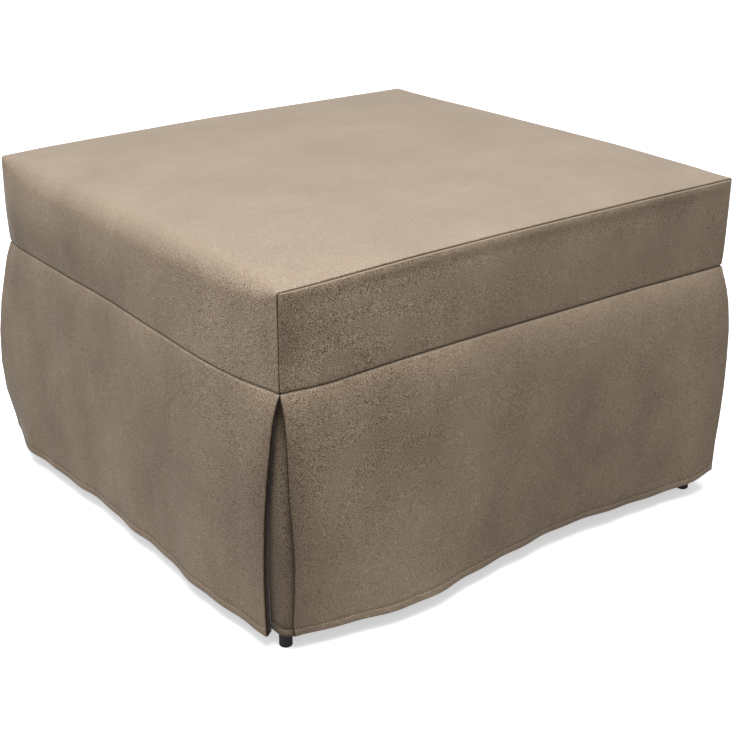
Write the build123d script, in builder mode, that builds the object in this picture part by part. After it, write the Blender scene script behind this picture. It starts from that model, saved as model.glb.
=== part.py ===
"""Square ottoman under a skirted slipcover, holding a guest bed that folds out in three sections.

Millimetres, +Z up. The origin lies on the floor under the middle of the closed ottoman.
The bed unfolds towards +Y: the base stays, the middle section turns over the hinge at +Y,
and the end section and the three mattress pads stay level as they travel.
"""

import os
from math import cos, radians, sin

from build123d import *

os.makedirs("parts", exist_ok=True)

# Closed ottoman
ottoman_width = 700.0
ottoman_depth = 690.0
base_deck_height = 114.0
pad_pitch = 90.0
fit_gap = 0.3

# Slipcover cloth
cloth = 2.0
top_crown = 6.0
band_height = 114.0
band_corner_radius = 9.0
side_turn = 14.0
waist_inset = 1.7
hem_clearance = 22.0
hem_wave = 20.0
skirt_bulge = 11.0
pleat_opening = 19.0
pleat_leg = 46.0
pleat_depth = 8.0
pleat_corner_radius = 10.0
pleat_seat = 0.4

# Fold: the play between neighbouring sections, and how far a pivot stands off its frame
deck_gap = 2.0
back_gap = 4.0
hinge_reach = 8.0
pivot_clearance = 1.0
side_margin = 5.0

# Welded tube frames and their slats
rail = 20.0
rail_wall = 1.5
plug_flange = 1.5
plug_depth = 12.0
plug_play = 0.2
slat_count = 5
slat_width = 54.0
slat_thickness = 6.0
holder_wall = 2.0
holder_end_wall = 4.0
holder_side_wall = 3.0
holder_length = 30.0
holder_play = 0.15
peg_radius = 4.0
peg_depth = 8.0

# Hinge lugs, bolts and nuts
lug_thickness = 5.0
lug_radius = 6.5
lug_foot = 4.0
lug_setback = 1.0
lug_from_side = 66.0
lug_play = 1.0
bolt_radius = 3.0
bolt_play = 0.15
head_radius = 5.0
head_height = 3.0
nut_width = 10.0
nut_height = 5.0
washer_radius = 6.0
washer_thickness = 0.8

# Legs
leg_tube_radius = 7.0
leg_tube_wall = 1.2
leg_bend_radius = 30.0
foot_radius = 8.0
foot_floor = 5.0
foot_height = 24.0
foot_chamfer = 1.0
leg_bolt_from_side = 150.0
bolt_tail = 2.0
leg_set_in = 42.0
leg_washer = 1.5
leg_tail = 8.0
glide_wall = 2.0
glide_length = 30.0
glide_from_side = 120.0

# Mattress pads
pad_margin_x = 6.6
pad_margin_y = 3.6
pad_corner_radius = 24.0
pad_edge_roll = 16.0
pad_draw_in = 4.0
ticking = 1.2
hinge_web = 1.2
web_side_gap = 12.0

# Crown of the top panel and of each pad: height share of the crown, inset share of the span
crown_shares = ((0.0, 0.0), (0.4, 0.03), (0.68, 0.08), (0.88, 0.16), (0.97, 0.25), (1.0, 0.35))
edge_roll_share = 0.2
roll_turn_shares = (0.0, 0.33, 0.67, 1.0)

# Band outline from the waist seam up: height share, share of the waist inset
band_shares = ((0.0, 1.0), (0.04, 0.3), (0.5, 0.0), (1.0, 0.0))

# Skirt fall from waist to hem: drop share, share of the bulge, share of the hem wave,
# share of the pleat opening
fall_shares = (
    (0.0, 0.0, 0.04, 0.0),
    (0.04, 0.4, 0.06, 0.12),
    (0.14, 0.8, 0.1, 0.36),
    (0.3, 1.0, 0.2, 0.66),
    (0.55, 1.0, 0.4, 0.91),
    (0.8, 0.85, 0.75, 0.99),
    (1.0, 0.7, 1.0, 1.0),
)

# Hem waves seen from above, at nine even places along a side, as shares of the hem wave;
# the right side repeats the left one turned half round, and the back stays clear of the hinges
front_wave_shares = (-0.15, -0.5, -0.55, -0.35, 0.1, 0.4, 0.75, 0.75, 0.05)
back_wave_shares = (0.1, 0.35, 0.2, 0.25, 0.75, 0.75, 0.05, 0.3, 0.3)
left_wave_shares = (0.2, 0.7, 0.6, 0.3, 0.1, 0.05, 0.35, 0.55, 0.35)

# Heights worked out from the sizes above
holder_height = 2 * holder_wall + slat_thickness
section_height = rail + holder_height
middle_deck_height = base_deck_height + deck_gap
end_deck_height = middle_deck_height + section_height + back_gap + section_height
pad_base_height = end_deck_height - holder_wall
ottoman_height = pad_base_height + 3 * pad_pitch + cloth
top_edge_height = ottoman_height - top_crown
crown_span = (ottoman_width + ottoman_depth) / 2
waist_height = top_edge_height - band_height
skirt_drop = waist_height - hem_clearance
pivot_y = ottoman_depth / 2 - cloth - pivot_clearance
deck_pivot_height = base_deck_height + deck_gap / 2
back_pivot_height = middle_deck_height + section_height + back_gap / 2

# Frame places worked out from the sizes above
frame_width = ottoman_width - 2 * side_margin
frame_depth = 2 * (pivot_y - hinge_reach)
rail_x = frame_width / 2 - rail / 2
rail_y = frame_depth / 2 - rail / 2
rail_inner_x = frame_width / 2 - rail
rail_bore = rail - 2 * rail_wall
holder_width = slat_width + 2 * holder_side_wall
slat_pitch = (frame_depth - holder_width) / slat_count
slat_places = [(i - (slat_count - 1) / 2) * slat_pitch for i in range(slat_count)]
leg_y = rail_y
leg_pivot_y = frame_depth / 2 - leg_set_in
leg_pivot_drop = holder_height + rail / 2
leg_reach = base_deck_height - leg_pivot_drop - leg_tube_radius - glide_wall
leg_tube_x = rail_inner_x - leg_washer - leg_tube_radius
lug_x = frame_width / 2 - lug_from_side
bolt_hole_radius = bolt_radius + bolt_play


def deck_side(deck, facing, distance):
    """Height of a place that lies a distance under the deck of a section facing up or down."""
    return deck - facing * distance


def side_rail_pair(deck, facing):
    """Two square tubes along Y, with a peg hole under each slat holder."""
    middle = deck_side(deck, facing, holder_height + rail / 2)
    face = deck_side(deck, facing, holder_height)
    with BuildPart() as pair:
        with BuildSketch(Plane.XZ):
            with Locations((rail_x, middle), (-rail_x, middle)):
                Rectangle(rail, rail)
                Rectangle(rail_bore, rail_bore, mode=Mode.SUBTRACT)
        extrude(amount=frame_depth / 2, both=True)
        with BuildSketch(Plane.XY.offset(face)):
            with Locations(*[(x, y) for x in (-rail_x, rail_x) for y in slat_places]):
                Circle(peg_radius + holder_play)
        extrude(amount=-facing * (rail_wall + peg_radius), mode=Mode.SUBTRACT)
    return pair.part


def end_rail_pair(deck, facing):
    """Two square tubes along X, butted between the side rails."""
    middle = deck_side(deck, facing, holder_height + rail / 2)
    with BuildPart() as pair:
        with BuildSketch(Plane.YZ):
            with Locations((rail_y, middle), (-rail_y, middle)):
                Rectangle(rail, rail)
                Rectangle(rail_bore, rail_bore, mode=Mode.SUBTRACT)
        extrude(amount=rail_inner_x, both=True)
    return pair.part


def rail_plug_set(deck, facing):
    """Four plugs that close the open ends of the side rails."""
    middle = deck_side(deck, facing, holder_height + rail / 2)
    body = rail_bore - 2 * plug_play
    with BuildPart() as plugs:
        for end in (-1, 1):
            with BuildSketch(Plane.XZ.offset(-end * frame_depth / 2)):
                with Locations((rail_x, middle), (-rail_x, middle)):
                    Rectangle(rail, rail)
            extrude(amount=-end * plug_flange)
            with BuildSketch(Plane.XZ.offset(-end * frame_depth / 2)):
                with Locations((rail_x, middle), (-rail_x, middle)):
                    Rectangle(body, body)
            extrude(amount=end * plug_depth)
    return plugs.part


def slat_set(deck, facing):
    """Sprung wooden slats across the section."""
    middle = deck_side(deck, facing, holder_wall + slat_thickness / 2)
    half_length = frame_width / 2 - holder_end_wall - holder_play
    with BuildPart() as slats:
        with BuildSketch(Plane.YZ):
            with Locations(*[(y, middle) for y in slat_places]):
                SlotOverall(slat_width, slat_thickness)
        extrude(amount=half_length, both=True)
    return slats.part


def slat_holder_set(deck, facing):
    """Moulded holders: each has a pocket for a slat end and a peg that plugs into the rail."""
    middle = deck_side(deck, facing, holder_height / 2)
    pocket_height = slat_thickness + 2 * holder_play
    pocket_width = slat_width + 2 * holder_play
    with BuildPart() as holders:
        with BuildSketch(Plane.YZ.offset(frame_width / 2)):
            with Locations(*[(y, middle) for y in slat_places]):
                Rectangle(holder_width, holder_height)
        extrude(amount=-holder_length)
        with BuildSketch(Plane.YZ.offset(frame_width / 2 - holder_end_wall)):
            with Locations(*[(y, middle) for y in slat_places]):
                SlotOverall(pocket_width, pocket_height)
        extrude(amount=-holder_length, mode=Mode.SUBTRACT)
        with BuildSketch(Plane.XY.offset(deck_side(deck, facing, holder_height))):
            with Locations(*[(rail_x, y) for y in slat_places]):
                Circle(peg_radius)
        extrude(amount=-facing * peg_depth)
        mirror(about=Plane.YZ)
    return holders.part


def lug_pair(deck, facing, end, pivot_height, outer):
    """Two flat lugs welded to an end rail, reaching out to a hinge pivot; outer ones stand wider."""
    middle = deck_side(deck, facing, holder_height + rail / 2)
    face = end * frame_depth / 2
    inner_face = lug_x + (lug_thickness + lug_play if outer else 0)
    with BuildPart() as lugs:
        with BuildSketch(Plane.YZ.offset(inner_face)):
            with Locations((face + end * lug_foot / 2, middle)):
                Rectangle(lug_foot, rail - 2 * lug_setback)
            with Locations((end * pivot_y, pivot_height)):
                Circle(lug_radius)
            make_hull()
            with Locations((end * pivot_y, pivot_height)):
                Circle(bolt_hole_radius, mode=Mode.SUBTRACT)
        extrude(amount=lug_thickness)
        mirror(about=Plane.YZ)
    return lugs.part


def cross_bolt_pair(y, z, start, length):
    """Two bolts along X with their round heads towards the middle of the frame."""
    with BuildPart() as bolts:
        with BuildSketch(Plane.YZ.offset(start)):
            with Locations((y, z)):
                Circle(bolt_radius)
        extrude(amount=length)
        with BuildSketch(Plane.YZ.offset(start)):
            with Locations((y, z)):
                Circle(head_radius)
        extrude(amount=-head_height)
        mirror(about=Plane.YZ)
    return bolts.part


def cross_nut_pair(y, z, start):
    """Two hexagon nuts on bolts along X, from their seat outwards."""
    with BuildPart() as nuts:
        with BuildSketch(Plane.YZ.offset(start)):
            with Locations((y, z)):
                RegularPolygon(nut_width / 2, 6, major_radius=False)
                Circle(bolt_radius, mode=Mode.SUBTRACT)
        extrude(amount=nut_height)
        mirror(about=Plane.YZ)
    return nuts.part


def cross_washer_pair(y, z, middle, thickness):
    """Two plain washers on bolts along X."""
    with BuildPart() as washers:
        with BuildSketch(Plane.YZ.offset(middle - thickness / 2)):
            with Locations((y, z)):
                Circle(washer_radius)
                Circle(bolt_hole_radius, mode=Mode.SUBTRACT)
        extrude(amount=thickness)
        mirror(about=Plane.YZ)
    return washers.part


def outline(width, depth, corner, bow, height):
    """Level outline with rounded corners whose sides are drawn in by bow at their middles."""
    x, y = width / 2, depth / 2
    near = corner * (1 - cos(radians(45)))
    with BuildSketch(Plane.XY.offset(height)) as level:
        with BuildLine():
            ThreePointArc((corner - x, -y), (0, bow - y), (x - corner, -y))
            ThreePointArc((x - corner, -y), (x - near, near - y), (x, corner - y))
            ThreePointArc((x, corner - y), (x - bow, 0), (x, y - corner))
            ThreePointArc((x, y - corner), (x - near, y - near), (x - corner, y))
            ThreePointArc((x - corner, y), (0, y - bow), (corner - x, y))
            ThreePointArc((corner - x, y), (near - x, y - near), (-x, y - corner))
            ThreePointArc((-x, y - corner), (bow - x, 0), (-x, corner - y))
            ThreePointArc((-x, corner - y), (near - x, near - y), (corner - x, -y))
        make_face()
    return level.sketch.face()


def square_outline(width, depth, corner, height):
    """Level outline with straight sides and rounded corners."""
    with BuildSketch(Plane.XY.offset(height)) as level:
        RectangleRounded(width, depth, corner)
    return level.sketch.face()


def pad_levels(skin):
    """Half of a pad's profile from its middle up: inset from the edge, height over the middle."""
    half = pad_pitch / 2 - fit_gap - skin
    roll = pad_edge_roll - skin
    shoulder = half - top_crown * (1 - edge_roll_share)
    levels = []
    for share in roll_turn_shares:
        turn = radians(90 * share)
        levels.append((roll * (1 - cos(turn)), shoulder - roll * (1 - sin(turn))))
    for height_share, inset_share in crown_shares[1:]:
        inset = roll + inset_share * crown_span
        levels.append((inset, half - top_crown * (1 - height_share) * (1 - edge_roll_share)))
    return levels


def pad_solid(base, skin):
    """A crowned pad with rolled edges and drawn-in sides, smaller all round by skin."""
    width = ottoman_width - 2 * pad_margin_x - 2 * skin
    depth = 2 * pivot_y - 2 * pad_margin_y - 2 * skin
    middle = base + pad_pitch / 2
    half = pad_levels(skin)
    profile = [(inset, -height) for inset, height in reversed(half)] + half
    corner = pad_corner_radius - skin
    faces = []
    for inset, height in profile:
        bow = pad_draw_in
        faces.append(outline(width - 2 * inset, depth - 2 * inset, corner, bow, middle + height))
    with BuildPart() as pad:
        loft(faces, ruled=True)
    return pad.part


# Frames: the base faces up, the middle section lies face down on it, the end section faces up
sections = (
    ("base", base_deck_height, 1),
    ("middle", middle_deck_height, -1),
    ("end", end_deck_height, 1),
)
for section, deck, facing in sections:
    rail_middle = deck_side(deck, facing, holder_height + rail / 2)

    with BuildPart() as side_rails:
        add(side_rail_pair(deck, facing))
        if section == "end":
            with BuildSketch(Plane.YZ):
                with Locations((leg_pivot_y, rail_middle), (-leg_pivot_y, rail_middle)):
                    Circle(bolt_hole_radius)
            extrude(amount=ottoman_width, both=True, mode=Mode.SUBTRACT)
    side_rails.part.label = f"{section}_side_rails"
    export_step(side_rails.part, f"parts/{section}_side_rails.step")

    with BuildPart() as end_rails:
        add(end_rail_pair(deck, facing))
        if section == "base":
            bolt_x = frame_width / 2 - leg_bolt_from_side
            with BuildSketch(Plane.XY):
                with Locations(*[(x, y) for x in (-bolt_x, bolt_x) for y in (-leg_y, leg_y)]):
                    Circle(bolt_hole_radius)
            extrude(amount=ottoman_height, mode=Mode.SUBTRACT)
    end_rails.part.label = f"{section}_end_rails"
    export_step(end_rails.part, f"parts/{section}_end_rails.step")

    with BuildPart() as rail_plugs:
        add(rail_plug_set(deck, facing))
    rail_plugs.part.label = f"{section}_rail_plugs"
    export_step(rail_plugs.part, f"parts/{section}_rail_plugs.step")

    with BuildPart() as slats:
        add(slat_set(deck, facing))
    slats.part.label = f"{section}_slats"
    export_step(slats.part, f"parts/{section}_slats.step")

    with BuildPart() as slat_holders:
        add(slat_holder_set(deck, facing))
    slat_holders.part.label = f"{section}_slat_holders"
    export_step(slat_holders.part, f"parts/{section}_slat_holders.step")

# Hinges: one pair of lugs on each of the two sections that share a pivot line
lug_sets = (
    ("base_hinge_lugs", sections[0], 1, deck_pivot_height, False),
    ("middle_deck_hinge_lugs", sections[1], 1, deck_pivot_height, True),
    ("middle_back_hinge_lugs", sections[1], -1, back_pivot_height, False),
    ("end_hinge_lugs", sections[2], -1, back_pivot_height, True),
)
for name, (section, deck, facing), end, pivot_height, outer in lug_sets:
    with BuildPart() as hinge_lugs:
        add(lug_pair(deck, facing, end, pivot_height, outer))
    hinge_lugs.part.label = name
    export_step(hinge_lugs.part, f"parts/{name}.step")

pivot_lines = (("deck", pivot_y, deck_pivot_height), ("back", -pivot_y, back_pivot_height))
hinge_grip = 2 * lug_thickness + lug_play
for line, y, z in pivot_lines:
    with BuildPart() as hinge_bolts:
        add(cross_bolt_pair(y, z, lug_x, hinge_grip + fit_gap + nut_height + bolt_tail))
    hinge_bolts.part.label = f"{line}_hinge_bolts"
    export_step(hinge_bolts.part, f"parts/{line}_hinge_bolts.step")

    with BuildPart() as hinge_nuts:
        add(cross_nut_pair(y, z, lug_x + hinge_grip + fit_gap))
    hinge_nuts.part.label = f"{line}_hinge_nuts"
    export_step(hinge_nuts.part, f"parts/{line}_hinge_nuts.step")

    with BuildPart() as hinge_washers:
        add(cross_washer_pair(y, z, lug_x + hinge_grip / 2, washer_thickness))
    hinge_washers.part.label = f"{line}_hinge_washers"
    export_step(hinge_washers.part, f"parts/{line}_hinge_washers.step")

# Base legs: one bent tube under each end rail, bolted through it
base_bar_height = base_deck_height - section_height - leg_tube_radius
with BuildPart() as base_legs:
    for y in (-leg_y, leg_y):
        with BuildLine(Plane.XZ.offset(-y)) as leg_path:
            FilletPolyline(
                (-rail_x, foot_floor),
                (-rail_x, base_bar_height),
                (rail_x, base_bar_height),
                (rail_x, foot_floor),
                radius=leg_bend_radius,
            )
        with BuildSketch(Plane.XY.offset(foot_floor)):
            with Locations((-rail_x, y)):
                Circle(leg_tube_radius)
                Circle(leg_tube_radius - leg_tube_wall, mode=Mode.SUBTRACT)
        sweep(path=leg_path.wire())
    with BuildSketch(Plane.XY):
        with Locations(*[(x, y) for x in (-bolt_x, bolt_x) for y in (-leg_y, leg_y)]):
            Circle(bolt_hole_radius)
    extrude(amount=base_deck_height, mode=Mode.SUBTRACT)
base_legs.part.label = "base_legs"
export_step(base_legs.part, "parts/base_legs.step")

bolt_seat = base_bar_height - leg_tube_radius
nut_seat = base_deck_height - holder_height
with BuildPart() as base_leg_bolts:
    with BuildSketch(Plane.XY.offset(bolt_seat)):
        with Locations(*[(x, y) for x in (-bolt_x, bolt_x) for y in (-leg_y, leg_y)]):
            Circle(bolt_radius)
    extrude(amount=nut_seat + nut_height + bolt_tail - bolt_seat)
    with BuildSketch(Plane.XY.offset(bolt_seat)):
        with Locations(*[(x, y) for x in (-bolt_x, bolt_x) for y in (-leg_y, leg_y)]):
            Circle(head_radius)
    extrude(amount=-head_height)
base_leg_bolts.part.label = "base_leg_bolts"
export_step(base_leg_bolts.part, "parts/base_leg_bolts.step")

with BuildPart() as base_leg_nuts:
    with BuildSketch(Plane.XY.offset(nut_seat)):
        with Locations(*[(x, y) for x in (-bolt_x, bolt_x) for y in (-leg_y, leg_y)]):
            RegularPolygon(nut_width / 2, 6, major_radius=False)
            Circle(bolt_radius, mode=Mode.SUBTRACT)
    extrude(amount=nut_height)
base_leg_nuts.part.label = "base_leg_nuts"
export_step(base_leg_nuts.part, "parts/base_leg_nuts.step")

with BuildPart() as base_feet:
    with BuildSketch(Plane.XY):
        with Locations(*[(x, y) for x in (-rail_x, rail_x) for y in (-leg_y, leg_y)]):
            Circle(foot_radius)
    extrude(amount=foot_height)
    chamfer(base_feet.faces().sort_by(Axis.Z)[:4].edges(), length=foot_chamfer)
    with BuildSketch(Plane.XY.offset(foot_floor)):
        with Locations(*[(x, y) for x in (-rail_x, rail_x) for y in (-leg_y, leg_y)]):
            Circle(leg_tube_radius)
    extrude(amount=foot_height, mode=Mode.SUBTRACT)
base_feet.part.label = "base_feet"
export_step(base_feet.part, "parts/base_feet.step")

# End section legs: bent tubes that lie folded between the rails, pointing to the middle
end_rail_middle = deck_side(end_deck_height, 1, leg_pivot_drop)
for leg, end in (("near", -1), ("far", 1)):
    y_pivot = end * leg_pivot_y
    y_bar = y_pivot - end * leg_reach
    with BuildPart() as folding_leg:
        with BuildLine(Plane.XY.offset(end_rail_middle)) as leg_path:
            FilletPolyline(
                (-leg_tube_x, y_pivot + end * leg_tail),
                (-leg_tube_x, y_bar),
                (leg_tube_x, y_bar),
                (leg_tube_x, y_pivot + end * leg_tail),
                radius=leg_bend_radius,
            )
        with BuildSketch(Plane.XZ.offset(-(y_pivot + end * leg_tail))):
            with Locations((-leg_tube_x, end_rail_middle)):
                Circle(leg_tube_radius)
                Circle(leg_tube_radius - leg_tube_wall, mode=Mode.SUBTRACT)
        sweep(path=leg_path.wire())
        with BuildSketch(Plane.YZ):
            with Locations((y_pivot, end_rail_middle)):
                Circle(bolt_hole_radius)
        extrude(amount=ottoman_width, both=True, mode=Mode.SUBTRACT)
    folding_leg.part.label = f"{leg}_leg"
    export_step(folding_leg.part, f"parts/{leg}_leg.step")

    glide_x = frame_width / 2 - glide_from_side
    with BuildPart() as leg_glides:
        with BuildSketch(Plane.YZ.offset(glide_x)):
            with Locations((y_bar, end_rail_middle)):
                Circle(leg_tube_radius + glide_wall)
                Circle(leg_tube_radius, mode=Mode.SUBTRACT)
        extrude(amount=-glide_length)
        mirror(about=Plane.YZ)
    leg_glides.part.label = f"{leg}_leg_glides"
    export_step(leg_glides.part, f"parts/{leg}_leg_glides.step")

    tube_face = leg_tube_x - leg_tube_radius
    nut_start = tube_face - nut_height
    with BuildPart() as leg_pivot_bolts:
        with BuildSketch(Plane.YZ.offset(frame_width / 2)):
            with Locations((y_pivot, end_rail_middle)):
                Circle(head_radius)
        extrude(amount=head_height)
        with BuildSketch(Plane.YZ.offset(frame_width / 2)):
            with Locations((y_pivot, end_rail_middle)):
                Circle(bolt_radius)
        extrude(amount=nut_start - bolt_tail - frame_width / 2)
        mirror(about=Plane.YZ)
    leg_pivot_bolts.part.label = f"{leg}_leg_pivot_bolts"
    export_step(leg_pivot_bolts.part, f"parts/{leg}_leg_pivot_bolts.step")

    with BuildPart() as leg_pivot_nuts:
        add(cross_nut_pair(y_pivot, end_rail_middle, nut_start - fit_gap))
    leg_pivot_nuts.part.label = f"{leg}_leg_pivot_nuts"
    export_step(leg_pivot_nuts.part, f"parts/{leg}_leg_pivot_nuts.step")

    washer_middle = rail_inner_x - leg_washer / 2
    with BuildPart() as leg_pivot_washers:
        add(cross_washer_pair(y_pivot, end_rail_middle, washer_middle, washer_thickness))
    leg_pivot_washers.part.label = f"{leg}_leg_pivot_washers"
    export_step(leg_pivot_washers.part, f"parts/{leg}_leg_pivot_washers.step")

# Mattress: three pads, each a foam core in its ticking, joined by webs at opposite edges
for number, pad in enumerate(("lower", "middle", "top")):
    base = pad_base_height + number * pad_pitch

    with BuildPart() as foam_core:
        add(pad_solid(base, ticking + fit_gap))
    foam_core.part.label = f"{pad}_foam_core"
    export_step(foam_core.part, f"parts/{pad}_foam_core.step")

    with BuildPart() as pad_ticking:
        add(pad_solid(base, 0))
        add(pad_solid(base, ticking), mode=Mode.SUBTRACT)
    pad_ticking.part.label = f"{pad}_ticking"
    export_step(pad_ticking.part, f"parts/{pad}_ticking.step")

web_length = 2 * (lug_x - head_height - web_side_gap)
pad_straight = ottoman_width - 2 * pad_margin_x - 2 * pad_corner_radius
web_bow = pad_draw_in * (1 - (web_length / pad_straight) ** 2)
web_turn = radians(45)
roll_facet = radians(90 * (roll_turn_shares[2] - roll_turn_shares[1]))
web_root_inset = pad_edge_roll * (1 - cos(roll_facet / 2) * cos(web_turn)) + hinge_web / 2
web_root_y = pivot_y - pad_margin_y - web_root_inset - web_bow + fit_gap
web_root_drop = top_crown * (1 - edge_roll_share) + web_root_inset
web_sets = (
    ("lower_hinge_webs", ((1, -1, 1),)),
    ("middle_hinge_webs", ((1, -1, -1), (2, 1, 1))),
    ("top_hinge_webs", ((2, 1, -1),)),
)
for name, webs in web_sets:
    with BuildPart() as hinge_webs:
        for pads_below, end, below in webs:
            level = pad_base_height + pads_below * pad_pitch
            tip = pivot_y - fit_gap
            profile = [
                (end * web_root_y, level - below * (web_root_drop - hinge_web)),
                (end * (tip - hinge_web), level - below * fit_gap),
                (end * tip, level - below * fit_gap),
                (end * tip, level - below * (fit_gap + hinge_web)),
                (end * (web_root_y + hinge_web), level - below * web_root_drop),
            ]
            with BuildSketch(Plane.YZ):
                with BuildLine():
                    Polyline(*profile, close=True)
                make_face()
            extrude(amount=web_length / 2, both=True)
    hinge_webs.part.label = name
    export_step(hinge_webs.part, f"parts/{name}.step")


def cover_levels(inward):
    """Level slices of the cover above the waist seam, all of them smaller by inward."""
    straight = top_edge_height - side_turn - waist_height
    slices = []
    for height_share, inset_share in band_shares:
        inset = inset_share * waist_inset + inward
        slices.append((inset, inset, waist_height + height_share * straight))
    for turn_share in roll_turn_shares[1:]:
        turn = radians(90 * turn_share)
        inset = side_turn - (side_turn - inward) * cos(turn)
        rise = (side_turn - inward) * sin(turn)
        slices.append((inset, inward, top_edge_height - side_turn + rise))
    for height_share, inset_share in crown_shares[1:]:
        inset = inset_share * crown_span
        height = top_edge_height - inward + height_share * top_crown
        slices.append((max(inset, side_turn), inset, height))
    return [
        square_outline(
            ottoman_width - 2 * inset_x,
            ottoman_depth - 2 * inset_y,
            band_corner_radius - inward,
            height,
        )
        for inset_x, inset_y, height in slices
    ]


# Slipcover above the waist: one length of cloth runs over the top and down the left and right
# sides, and a band closes the front and the back
with BuildPart() as cover_shell:
    loft(cover_levels(0), ruled=True)
    loft(cover_levels(cloth), ruled=True, mode=Mode.SUBTRACT)
seam_y = ottoman_depth / 2 - cloth
cover_cuts = (
    ("cover_top_and_sides", ((seam_y, Keep.BOTTOM), (-seam_y, Keep.TOP))),
    ("cover_front_band", ((seam_y, Keep.TOP),)),
    ("cover_back_band", ((-seam_y, Keep.BOTTOM),)),
)
for name, cuts in cover_cuts:
    with BuildPart() as cover_piece:
        add(cover_shell.part)
        for place, side in cuts:
            split(bisect_by=Plane.XZ.offset(place), keep=side)
    cover_piece.part.label = name
    export_step(cover_piece.part, f"parts/{name}.step")


def skirt_level(direction, length, distance, wave_shares, butt, level_shares):
    """Level slice of a skirt panel: arcs along its outer face and back along its inner face."""
    drop_share, bulge_share, wave_share, open_share = level_shares
    bulge = -waist_inset + bulge_share * (skirt_bulge + waist_inset)
    half = length / 2 - waist_inset - butt * (1 - open_share) - open_share * pleat_opening
    count = len(wave_shares) - 1
    outer = []
    for i, share in enumerate(wave_shares):
        along = half * (2 * i / count - 1)
        outer.append((along, distance + bulge + share * wave_share * hem_wave))
    inner = [(along, out - cloth) for along, out in outer]
    height = waist_height - drop_share * skirt_drop
    plane = Plane(origin=(0, 0, height), x_dir=direction, z_dir=(0, 0, 1))
    with BuildSketch(plane) as level:
        with BuildLine():
            for i in range(0, count, 2):
                ThreePointArc(*outer[i : i + 3])
                ThreePointArc(*inner[i : i + 3])
            Line(outer[0], inner[0])
            Line(outer[-1], inner[-1])
        make_face()
    return level.sketch.face()


# Skirt: four hanging panels, sewn to the band at the waist and parting at the corners
half_width, half_depth = ottoman_width / 2, ottoman_depth / 2
butt_joint = cloth + pleat_seat / 2
skirt_panels = (
    ("front", (-1, 0, 0), ottoman_width, half_depth, front_wave_shares, butt_joint),
    ("left", (0, 1, 0), ottoman_depth, half_width, left_wave_shares, 0),
    ("back", (1, 0, 0), ottoman_width, half_depth, back_wave_shares, butt_joint),
    ("right", (0, -1, 0), ottoman_depth, half_width, left_wave_shares, 0),
)
for side, direction, length, distance, wave_shares, butt in skirt_panels:
    with BuildPart() as skirt_panel:
        loft(
            [
                skirt_level(direction, length, distance, wave_shares, butt, level_shares)
                for level_shares in fall_shares
            ],
            ruled=True,
        )
    skirt_panel.part.label = f"{side}_skirt_panel"
    export_step(skirt_panel.part, f"parts/{side}_skirt_panel.step")


def pleat_level(corner, direction, level_shares):
    """Level slice of a pleat underlay: two legs behind the skirt panels and a round corner."""
    drop_share, bulge_share, wave_share, open_share = level_shares
    bulge = -waist_inset + bulge_share * (skirt_bulge + waist_inset)
    face = cloth + pleat_seat + drop_share * pleat_depth - bulge
    back = face + cloth
    turn = face + pleat_corner_radius
    near = face + pleat_corner_radius * (1 - cos(radians(45)))
    near_back = turn - (pleat_corner_radius - cloth) * cos(radians(45))
    height = waist_height - drop_share * skirt_drop
    plane = Plane(origin=(*corner, height), x_dir=direction, z_dir=(0, 0, 1))
    with BuildSketch(plane) as level:
        with BuildLine():
            Line((pleat_leg, face), (turn, face))
            ThreePointArc((turn, face), (near, near), (face, turn))
            Line((face, turn), (face, pleat_leg))
            Line((face, pleat_leg), (back, pleat_leg))
            Line((back, pleat_leg), (back, turn))
            ThreePointArc((back, turn), (near_back, near_back), (turn, back))
            Line((turn, back), (pleat_leg, back))
            Line((pleat_leg, back), (pleat_leg, face))
        make_face()
    return level.sketch.face()


# Corner pleats: an underlay behind each pair of skirt edges
pleat_corners = (
    ("front_left", (-half_width, -half_depth), (1, 0, 0)),
    ("front_right", (half_width, -half_depth), (0, 1, 0)),
    ("back_right", (half_width, half_depth), (-1, 0, 0)),
    ("back_left", (-half_width, half_depth), (0, -1, 0)),
)
for name, corner, direction in pleat_corners:
    with BuildPart() as corner_pleat:
        loft([pleat_level(corner, direction, shares) for shares in fall_shares], ruled=True)
    corner_pleat.part.label = f"{name}_pleat"
    export_step(corner_pleat.part, f"parts/{name}_pleat.step")
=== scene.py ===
"""Looks for the fold out ottoman guest bed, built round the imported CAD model.

Metres, +Z up, in the CAD model's frame: the origin lies on the floor under the middle of the
closed ottoman. Front is -Y and left is -X, the two sides that the photograph shows. The file goes
through the object as it is put together: frames, slats, pads, and then the cover from its top down.
"""

from math import cos, pi, radians, sin

import bmesh
import bpy
import numpy as np
from mathutils import Matrix, Vector


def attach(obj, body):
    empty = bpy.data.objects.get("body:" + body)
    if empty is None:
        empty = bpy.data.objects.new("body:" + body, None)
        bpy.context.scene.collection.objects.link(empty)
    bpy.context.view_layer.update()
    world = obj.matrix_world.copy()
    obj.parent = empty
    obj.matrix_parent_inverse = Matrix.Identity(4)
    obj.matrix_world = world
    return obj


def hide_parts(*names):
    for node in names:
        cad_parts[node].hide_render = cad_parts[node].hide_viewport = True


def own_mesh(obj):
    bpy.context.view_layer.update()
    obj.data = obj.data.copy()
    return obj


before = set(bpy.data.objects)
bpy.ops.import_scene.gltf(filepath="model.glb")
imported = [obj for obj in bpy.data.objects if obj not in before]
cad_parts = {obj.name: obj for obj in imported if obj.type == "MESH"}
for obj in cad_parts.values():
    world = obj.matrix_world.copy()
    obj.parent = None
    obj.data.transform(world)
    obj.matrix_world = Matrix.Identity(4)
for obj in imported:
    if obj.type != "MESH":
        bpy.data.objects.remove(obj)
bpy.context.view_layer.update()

# Camera: the photograph's view, fitted to the ottoman's corners. The picture's middle is beside
# the lens axis, which the shift makes up for.
camera_place = (-1.1265, -1.529, 0.9527)
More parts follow.
